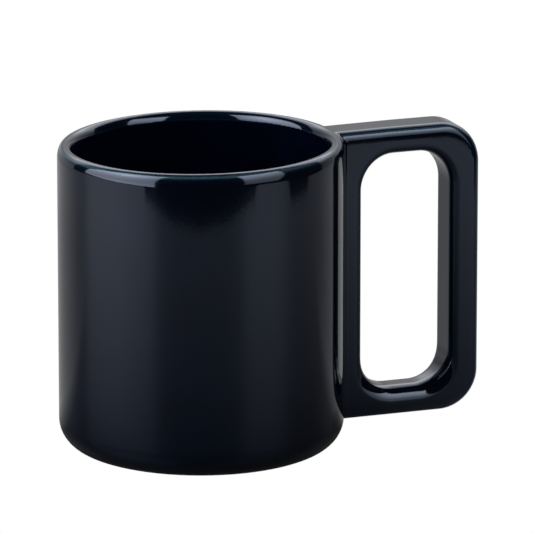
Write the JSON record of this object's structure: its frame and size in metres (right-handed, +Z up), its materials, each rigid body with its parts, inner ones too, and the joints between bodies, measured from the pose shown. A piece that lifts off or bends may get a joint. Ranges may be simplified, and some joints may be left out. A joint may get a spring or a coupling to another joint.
{
  "type": "ceramic mug",
  "caption": "Straight-sided glazed ceramic mug with a rounded lip, a bare foot ring and a flat rectangular frame handle with a tall finger opening.",
  "frame": {"origin": "on the table plane under the foot ring, at the middle of the mug's box seen from above", "axes": "+X from the cup towards the handle, +Z up, +Y to complete a right-handed frame"},
  "size_m": [0.1276, 0.084, 0.0913],
  "materials": {
    "clay": "bare fired stoneware",
    "slip": "bare fired slip",
    "outer_glaze": "high gloss, very dark navy",
    "liner_glaze": "high gloss, near black"
  },
  "bodies": {
    "root": {"cup_body": "clay", "handle_frame": "clay", "joint_slip": "slip", "outer_glaze": "outer_glaze", "handle_glaze": "outer_glaze", "liner_glaze": "liner_glaze"}
  },
  "joints": []
}
